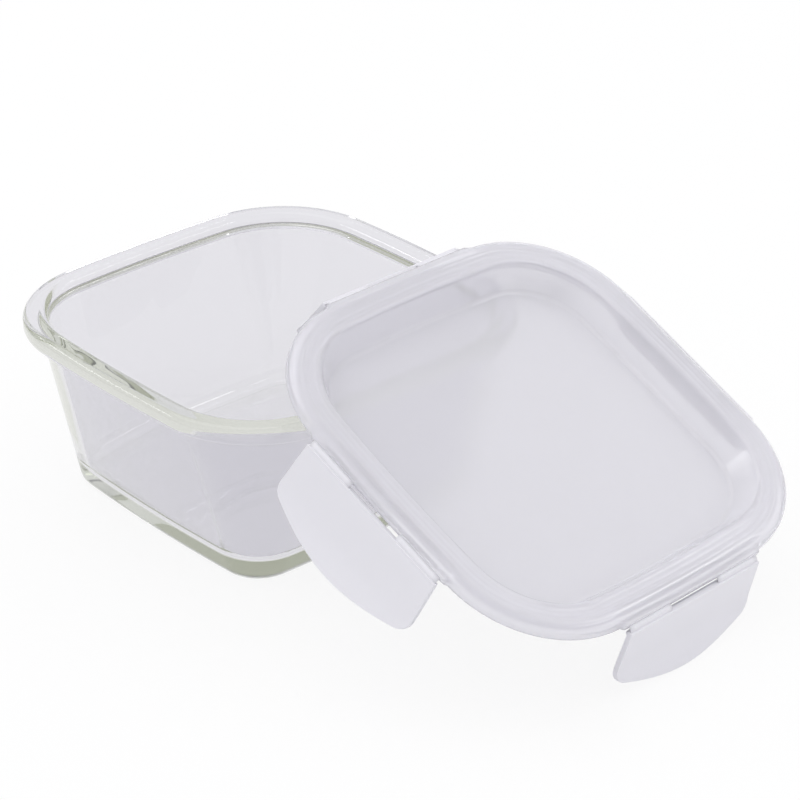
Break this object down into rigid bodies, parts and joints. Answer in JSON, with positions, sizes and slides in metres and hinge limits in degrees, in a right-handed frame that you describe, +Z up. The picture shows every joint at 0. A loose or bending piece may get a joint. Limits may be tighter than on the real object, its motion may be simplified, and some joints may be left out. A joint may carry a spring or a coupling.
{
  "type": "snap-lock glass food container",
  "caption": "Square clear glass food bowl with a thick rim and a loose translucent snap-lock lid leaning on it: sunken panel, sealing ring and hinged locking flaps.",
  "frame": {"origin": "middle of the bowl's flat base, on the surface that it stands on", "axes": "+Z up; the bowl's sides run along X and Y; the lid leans on the -Y side of the rim"},
  "size_m": [0.1471, 0.208, 0.0756],
  "materials": {
    "clear_glass": "clear pressed glass, faintly grey green where thick",
    "lid_polypropylene": "translucent natural polypropylene, softly glossy",
    "flap_polypropylene": "translucent natural polypropylene, fine matte texture",
    "seal_silicone": "translucent white silicone, satin"
  },
  "bodies": {
    "bowl": {"glass_bowl": "clear_glass"},
    "lid": {"lid_panel": "lid_polypropylene", "sealing_ring": "seal_silicone", "front_hinge_web": "flap_polypropylene", "right_hinge_web": "flap_polypropylene", "rear_hinge_web": "flap_polypropylene", "left_hinge_web": "flap_polypropylene"},
    "front_flap": {"front_flap": "flap_polypropylene"},
    "right_flap": {"right_flap": "flap_polypropylene"},
    "rear_flap": {"rear_flap": "flap_polypropylene"},
    "left_flap": {"left_flap": "flap_polypropylene"}
  },
  "joints": [
    {"name": "lid_lift", "type": "slide", "parent": "bowl", "child": "lid", "axis": [0, 0, 1], "range_m": [0, 0.12]},
    {"name": "front_flap_hinge", "type": "hinge", "parent": "lid", "child": "front_flap", "pos_m": [0.01859, -0.14699, 0.02303], "axis": [-0.999, -0.0426, 0.0159], "range_deg": [-9.5, 90], "deforming": ["front_hinge_web"]},
    {"name": "right_flap_hinge", "type": "hinge", "parent": "lid", "child": "right_flap", "pos_m": [0.07787, -0.08875, 0.04773], "axis": [0.032, -0.9075, -0.4188], "range_deg": [-14.3, 90], "deforming": ["right_hinge_web"]},
    {"name": "rear_flap_hinge", "type": "hinge", "parent": "lid", "child": "rear_flap", "pos_m": [0.01467, -0.03573, 0.07437], "axis": [0.999, 0.0426, -0.0159], "range_deg": [-14.3, 90], "deforming": ["rear_hinge_web"]},
    {"name": "left_flap_hinge", "type": "hinge", "parent": "lid", "child": "left_flap", "pos_m": [-0.0446, -0.09397, 0.04968], "axis": [-0.032, 0.9075, 0.4188], "range_deg": [-14.3, 90], "deforming": ["left_hinge_web"]}
  ]
}
